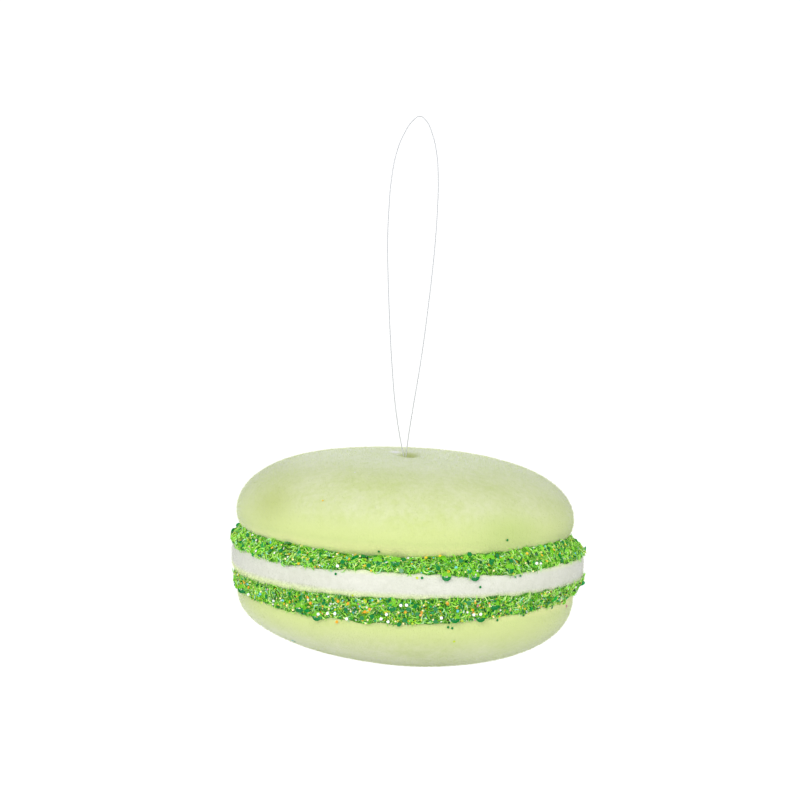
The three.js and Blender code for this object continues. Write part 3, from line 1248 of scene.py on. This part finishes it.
    def _back_rows(self) -> list[Array]:
        """The rows along the shell's edge into the crease and along the filling back out."""
        side, gap, filling = self.shell.side, self.gap, FILLING_FORM
        flat = filling.middle + side * (filling.half_height + gap)
        tip = self.shell.edge_turn(np.array([flat]), gap)[0]
        start = self.shell.edge_turn(self._edge(self.shell_edge, 2.0), gap)
        rows = []
        for share in np.linspace(0, 1, self.back_rows + 1)[1:]:
            r, z = self.shell.edge_point(start + (tip - start) * share, gap)
            rows.append(self._ring(r, z, 1.0))
        low = self._edge(self.filling_edge, 1.0)
        rim = filling.middle + side * (filling.half_height + gap) * self.rim_share
        for share in np.linspace(0, 1, self.back_rows + 1)[:-1]:
            z = rim + (low - rim) * share
            rows.append(self._ring(filling.radius_at(z, gap), z, 0.0))
        return rows

    def _ring(self, r: Array, z: Array, share: float) -> Array:
        """Points round the rope, which follow a share of the shell's own offset."""
        angle = self._angles()
        offset = self.shell.centre_x * share
        return np.stack([r * np.cos(angle) + offset, r * np.sin(angle), z], axis=1)

    def _grid(self, rows: list[Array], closed: bool) -> Form:
        """A form from rows of points round the rope."""
        faces: list[Face] = []
        for row in range(len(rows) if closed else len(rows) - 1):
            following = (row + 1) % len(rows)
            for i in range(self.around):
                j = (i + 1) % self.around
                near = (row * self.around + i, row * self.around + j)
                far = (following * self.around + j, following * self.around + i)
                faces.append(near + far if self.shell.side > 0 else (near + far)[::-1])
        return Form(np.vstack(rows), faces)


class Bit(Enum):
    """A kind of small thing in or beside the trim, by the radius of its chip."""

    CUP = 1.5
    HEXAGON = 0.75
    CHIP = 0.5
    DOT = 0.4
    SPECK = 0.3

    def form(self) -> Form:
        """The form of this kind."""
        if self is Bit.CUP:
            return cup_sequin()
        return flake(6 if self.value > Bit.DOT.value else 8, self.value)


class Tone(Enum):
    """A tone of the mixed glitter, by its tint."""

    EMERALD = 0.3
    LEMON = 0.64
    AMBER = 0.72
    SILVER = 0.8
    CREAM = 0.87
    ORANGE = 0.92
    CYAN = 0.95
    PINK = 0.97


@dataclass(frozen=True)
class Placed:
    """Bits of one kind and tone, each of which lies by itself where the camera sees it."""

    bit: Bit
    tone: Tone
    seen_at: Places
    lift: float = 0.25  # how far they stand off what they stick to
    tip_degrees: float = 0.0  # how far they tip up
    glint: bool = False  # whether they mirror the front light into the camera

    def form(self, place: Vector, outward: Vector, sight: Vector) -> Form:
        """One bit's form where it lies.

        Args:
            place: Where the camera's line of sight meets the ornament, in metres.
            outward: The direction that the surface faces there.
            sight: The direction of the line of sight.

        Returns:
            The form, moved to its place.
        """
        if self.glint:
            towards_light = (Vector(Facing.FRONT.value) - place).normalized()
            facing = towards_light - sight
        else:
            sideways = Vector((outward.y, -outward.x, 0.0))
            facing = Matrix.Rotation(math.radians(self.tip_degrees), 3, sideways) @ outward
        turn = facing.to_track_quat("Z", "Y").to_matrix().to_4x4()
        return self.bit.form().moved(
            Matrix.Translation(place / MM + outward * self.lift) @ turn
        )


@dataclass
class PlacedBits:
    """All the bits that lie by themselves, each on whichever piece the camera sees it on."""

    groups: tuple[Placed, ...]
    name: str = "placed_glitter"
    carriers: tuple[str, ...] = (
        "upper_shell_velvet",
        "upper_glitter_trim_core",
        "filling_velvet",
        "lower_glitter_trim_core",
        "lower_shell_velvet",
    )

    def build(self, studio: "Studio") -> None:
        """Builds the bits as one piece."""
        bpy.context.view_layer.update()
        forms, tints = [], []
        for group in self.groups:
            for across, down in group.seen_at:
                forms.append(group.form(*self._met(studio, across, down)))
                tints.append(np.full(len(forms[-1].points), group.tone.value))
        piece = joined(forms).build(self.name)
        set_point_attribute(piece, TINT, np.concatenate(tints))
        piece.data.materials.append(replace(FLAKE_FINISH, name=self.name).material())
        hand_over(piece)

    def _met(self, studio: "Studio", across: int, down: int) -> tuple[Vector, Vector, Vector]:
        """Where the line of sight through a place in the frame first meets a carrier.

        Args:
            studio: The studio, whose camera looks at the ornament.
            across: Pixels from the left side of the frame.
            down: Pixels from the top of the frame.

        Returns:
            The place in metres, the direction that the carrier faces there, and the sight's own.
        """
        eye, sight = studio.sight(across, down)
        casts = [bpy.data.objects[name].ray_cast(eye, sight) for name in self.carriers]
        met = [(place, outward) for found, place, outward, _ in casts if found]
        if not met:
            raise ValueError(f"nothing is seen at {across}, {down}")
        return *min(met, key=lambda hit: (hit[0] - eye).length), sight


@dataclass
class HangingLoop:
    """The loop of clear nylon line, sewn into the pit."""

    diameter: float = 0.3
    y: float = 0.6
    route: tuple[tuple[float, float], ...] = (
        (-2.4, 63.7), (-4.0, 70.0), (-5.8, 80.0), (-7.0, 90.0), (-8.0, 100.0),
        (-8.8, 110.0), (-9.5, 120.0), (-10.0, 130.0), (-10.0, 140.0), (-9.5, 150.0),
        (-8.2, 158.0), (-6.0, 164.0), (-3.4, 168.0), (-1.5, 169.2), (0.4, 168.0),
        (2.5, 164.0), (4.1, 158.0), (4.9, 150.0), (5.0, 140.0), (4.7, 130.0),
        (4.1, 120.0), (3.3, 110.0), (2.4, 100.0), (1.3, 90.0), (0.0, 80.0),
        (-1.2, 70.0), (-1.8, 63.7),
    )
    sunk: float = 0.5  # how much deeper than the route both ends reach into the pile

    def build(self) -> None:
        curve = bpy.data.curves.new("hanging_line", "CURVE")
        curve.dimensions = "3D"
        curve.bevel_depth = self.diameter / 2 * MM
        curve.bevel_resolution = 3
        curve.resolution_u = 10
        curve.use_fill_caps = True
        spline = curve.splines.new("BEZIER")
        spline.bezier_points.add(len(self.route) - 1)
        places = [Vector((x, self.y, z)) * MM for x, z in self.route]
        places[0].z -= self.sunk * MM
        places[-1].z -= self.sunk * MM
        for knot, place in zip(spline.bezier_points, places):
            knot.co = place
            knot.handle_left_type = knot.handle_right_type = "AUTO"
        piece = bpy.data.objects.new("hanging_line", curve)
        bpy.context.scene.collection.objects.link(piece)
        piece.data.materials.append(NylonFinish().material())
        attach(piece, BODY)
        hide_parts("hanging_loop")


# ------------------------------------------------------------------ studio


class Facing(Enum):
    """The place of a light, in metres from the ornament."""

    FRONT = (-0.35, -1.25, 0.55)
    LEFT = (-1.2, -0.4, 0.4)
    RIGHT = (1.3, -0.5, 0.45)
    TOP = (0.1, 0.1, 1.4)
    LOW = (0.0, -1.1, -0.75)
    SPARK = (0.25, -1.2, 0.75)


@dataclass(frozen=True)
class SoftLight:
    """A square light that faces the ornament."""

    facing: Facing
    size: float  # metres
    power: float  # watts

    def build(self, target: Vector) -> None:
        """Adds the light to the scene."""
        light = bpy.data.lights.new("light_" + self.facing.name.lower(), "AREA")
        light.size = self.size
        light.energy = self.power
        lamp = bpy.data.objects.new(light.name, light)
        lamp.location = target + Vector(self.facing.value)
        lamp.rotation_euler = (-Vector(self.facing.value)).to_track_quat("-Z", "Y").to_euler()
        bpy.context.scene.collection.objects.link(lamp)


@dataclass
class Studio:
    """The camera, the lights, the white surroundings and the floor."""

    aim: tuple[float, float, float] = (-4.3, 0.0, 81.1)
    distance: float = 993.5
    elevation_degrees: float = 6.2
    roll_degrees: float = 2.2
    lens: float = 143.7
    sensor: float = 36.0
    frame_side: float = 800.0  # pixels
    surroundings_seen: float = 1.1  # how bright the surroundings look
    surroundings_lit: float = 0.4  # how bright they are as a light
    floor_drop: float = 450.0
    floor_radius: float = 450.0
    lights: tuple[SoftLight, ...] = (
        SoftLight(Facing.FRONT, 0.7, 7.6),
        SoftLight(Facing.LEFT, 0.6, 4.0),
        SoftLight(Facing.RIGHT, 0.6, 6.0),
        SoftLight(Facing.TOP, 0.7, 1.2),
        SoftLight(Facing.LOW, 0.8, 1.8),
        SoftLight(Facing.SPARK, 0.12, 2.0),
    )

    def build(self) -> None:
        """Places everything round the ornament."""
        bpy.context.scene.view_settings.view_transform = "Standard"
        self._camera()
        self._surroundings()
        self._floor()
        for light in self.lights:
            light.build(Vector((0.0, 0.0, FILLING_FORM.middle * MM)))

    def _pose(self) -> Matrix:
        """The camera's pose: a little above the ornament, and turned about its own axis."""
        elevation = math.radians(self.elevation_degrees)
        back = Vector((0.0, -math.cos(elevation), math.sin(elevation)))
        place = Vector(self.aim) * MM + back * self.distance * MM
        facing = (-back).to_track_quat("-Z", "Y").to_matrix().to_4x4()
        roll = Matrix.Rotation(math.radians(self.roll_degrees), 4, "Z")
        return Matrix.Translation(place) @ facing @ roll

    def sight(self, across: float, down: float) -> tuple[Vector, Vector]:
        """The camera's line of sight through a place in its frame.

        Args:
            across: Pixels from the left side of the frame.
            down: Pixels from the top of the frame.

        Returns:
            Where the line starts, in metres, and its direction.
        """
        scale = self.sensor / self.lens / self.frame_side
        middle = self.frame_side / 2
        ahead = Vector(((across - middle) * scale, (middle - down) * scale, -1.0))
        pose = self._pose()
        return pose.translation, (pose.to_3x3() @ ahead).normalized()

    def _camera(self) -> None:
        """Places the camera."""
        camera = bpy.data.cameras.new("camera")
        camera.sensor_width = self.sensor
        camera.lens = self.lens
        camera.clip_end = 20.0
        eye = bpy.data.objects.new("camera", camera)
        eye.matrix_world = self._pose()
        bpy.context.scene.collection.objects.link(eye)
        bpy.context.scene.camera = eye

    def _surroundings(self) -> None:
        """Makes the surroundings plain white to look at and dimmer as a light."""
        world = bpy.data.worlds.new("surroundings")
        world.use_nodes = True
        bpy.context.scene.world = world
        tree = NodeTree(world.node_tree)
        seen = tree.add("ShaderNodeLightPath").outputs["Is Camera Ray"]
        extra = self.surroundings_seen - self.surroundings_lit
        strength = tree.math("MULTIPLY_ADD", seen, extra, self.surroundings_lit)
        glow = tree.add("ShaderNodeBackground", Color=(1.0, 1.0, 1.0), Strength=strength)
        tree.add("ShaderNodeOutputWorld", Surface=glow.outputs[0])

    def _floor(self) -> None:
        """Lays a round floor well below the hanging ornament."""
        sides = 96
        angles = [math.tau * i / sides for i in range(sides)]
        r = self.floor_radius
        points = np.array([(r * math.cos(a), r * math.sin(a), -self.floor_drop) for a in angles])
        floor = Form(points, [tuple(range(sides))]).build("floor")
        floor.data.materials.append(FloorFinish().material())


# ------------------------------------------------------------------ the ornament


UPPER_TRIM = GlitterTrim(
    "upper_glitter_trim",
    UPPER_FORM,
    filling_edge=Edge(35.3, tilt=0.1, sag=0.5, towards_degrees=-26.0, dips=5),
    shell_edge=Edge(40.1, tilt=0.8, sag=1.1, towards_degrees=-36.0, dips=3),
    flake_density=0.9,
    seed=11,
)
LOWER_TRIM = GlitterTrim(
    "lower_glitter_trim",
    LOWER_FORM,
    filling_edge=Edge(27.6, tilt=1.1, sag=0.1, towards_degrees=-20.0),
    shell_edge=Edge(21.4, tilt=0.6, sag=1.7, towards_degrees=-10.0),
    flake_density=1.6,
    seed=29,
)
# Where the camera sees the bits that lie by themselves, in pixels across and down its frame.
EMERALD_DOTS_ON_VELVET: Places = (
    (480, 587), (515, 577), (520, 576), (577, 556), (336, 574), (422, 578), (448, 627),
    (452, 628), (497, 620), (523, 615), (295, 641), (379, 551), (507, 540),
)
LEMON_DOTS_ON_VELVET: Places = ((353, 595), (417, 578), (454, 641))
PINK_CHIPS_ON_VELVET: Places = ((566, 606), (287, 610))
CYAN_CHIP_ON_VELVET: Places = ((293, 640),)
AMBER_CHIP_ON_VELVET: Places = ((294, 544),)
AMBER_SPECK_ON_VELVET: Places = ((323, 501),)
SILVER_SPECK_ON_VELVET: Places = ((355, 473),)
CUP_OVER_UPPER_TRIM: Places = ((289, 542),)
CUPS_UNDER_UPPER_TRIM: Places = ((474, 577), (446, 577))
TRIM_FLASHES: Places = (
    (401, 605), (407, 604), (387, 614), (382, 617), (388, 620), (348, 618), (441, 617),
    (473, 613), (479, 612), (251, 593), (336, 612), (319, 613), (328, 612), (338, 567),
    (535, 565),
)
TRIM_GLINTS: Places = (
    (423, 604), (438, 603), (399, 612), (404, 623), (352, 611), (423, 609), (432, 618),
    (369, 619), (366, 622), (396, 621), (492, 615), (559, 598), (264, 591), (283, 598),
    (289, 605), (330, 607), (295, 609), (301, 609), (401, 564), (287, 560), (295, 561),
    (465, 573), (492, 571), (524, 565), (531, 572), (361, 559), (337, 556), (397, 570),
)
ORANGE_CHIPS_IN_LOWER_TRIM: Places = (
    (349, 603), (370, 608), (366, 611), (406, 611), (421, 614), (447, 603), (456, 606),
    (312, 602), (309, 597), (339, 600), (338, 621), (251, 587),
)
AMBER_CHIPS_IN_UPPER_TRIM: Places = (
    (357, 557), (404, 561), (380, 562), (426, 559), (441, 557), (366, 567), (448, 572),
    (290, 556), (274, 549), (300, 564), (309, 561), (526, 554), (552, 551), (563, 546),
    (540, 556),
)
CYAN_CHIP_IN_LOWER_TRIM: Places = ((456, 610),)
TRIM_HEXAGONS: Places = (
    (373, 615), (347, 608), (362, 617), (325, 602), (417, 612), (414, 605), (409, 608),
    (436, 608), (404, 619), (398, 623), (435, 620), (469, 602), (529, 608), (549, 606),
    (546, 601), (269, 596), (335, 598), (353, 561), (343, 564), (369, 567), (404, 562),
    (363, 559), (438, 570), (402, 571), (250, 536), (272, 553), (282, 553), (312, 562),
    (495, 557), (461, 563), (489, 565), (510, 563), (559, 561), (429, 556), (444, 556),
    (469, 556),
)
TRIM_CUPS: Places = (
    (302, 607), (392, 605), (454, 617), (479, 615), (494, 604), (318, 614), (246, 590),
    (378, 565), (396, 565), (507, 570), (489, 560),
)

PLACED_BITS = (
    Placed(Bit.DOT, Tone.EMERALD, EMERALD_DOTS_ON_VELVET),
    Placed(Bit.DOT, Tone.LEMON, LEMON_DOTS_ON_VELVET),
    Placed(Bit.CHIP, Tone.PINK, PINK_CHIPS_ON_VELVET),
    Placed(Bit.CHIP, Tone.CYAN, CYAN_CHIP_ON_VELVET),
    Placed(Bit.CHIP, Tone.AMBER, AMBER_CHIP_ON_VELVET),
    Placed(Bit.SPECK, Tone.AMBER, AMBER_SPECK_ON_VELVET),
    Placed(Bit.SPECK, Tone.SILVER, SILVER_SPECK_ON_VELVET),
    Placed(Bit.CUP, Tone.EMERALD, CUP_OVER_UPPER_TRIM, tip_degrees=-40.0),
    Placed(Bit.CUP, Tone.EMERALD, CUPS_UNDER_UPPER_TRIM, lift=0.9, glint=True),
    # white and cream chips turned to mirror the front light; their pale tones are partly painted
    # glints
    Placed(Bit.CHIP, Tone.SILVER, TRIM_FLASHES, lift=1.1, glint=True),
    Placed(Bit.SPECK, Tone.CREAM, TRIM_GLINTS, lift=1.0, glint=True),
    Placed(Bit.CHIP, Tone.ORANGE, ORANGE_CHIPS_IN_LOWER_TRIM, lift=0.9, tip_degrees=20.0),
    Placed(Bit.CHIP, Tone.AMBER, AMBER_CHIPS_IN_UPPER_TRIM, lift=0.9, tip_degrees=20.0),
    Placed(Bit.CHIP, Tone.CYAN, CYAN_CHIP_IN_LOWER_TRIM, lift=1.0),
    Placed(Bit.HEXAGON, Tone.EMERALD, TRIM_HEXAGONS, lift=1.1),
    Placed(Bit.CUP, Tone.EMERALD, TRIM_CUPS, lift=1.2, glint=True),
)


def main() -> None:
    """Builds the studio and the ornament, piece by piece."""
    logging.basicConfig(level=logging.INFO, format="%(message)s")
    studio = Studio()
    studio.build()
    HangingLoop().build()
    pile = Strewing(density=2.2, tilt_degrees=28, nap=0.9)
    Shell("upper_shell", UPPER_FORM, pile, Pit()).build()
    Shell("lower_shell", LOWER_FORM, replace(pile, seed=5), dent_seed=8.0).build()
    Filling(replace(pile, density=3.2, seed=7)).build()
    UPPER_TRIM.build()
    LOWER_TRIM.build()
    PlacedBits(PLACED_BITS).build(studio)


if __name__ == "__main__":
    main()
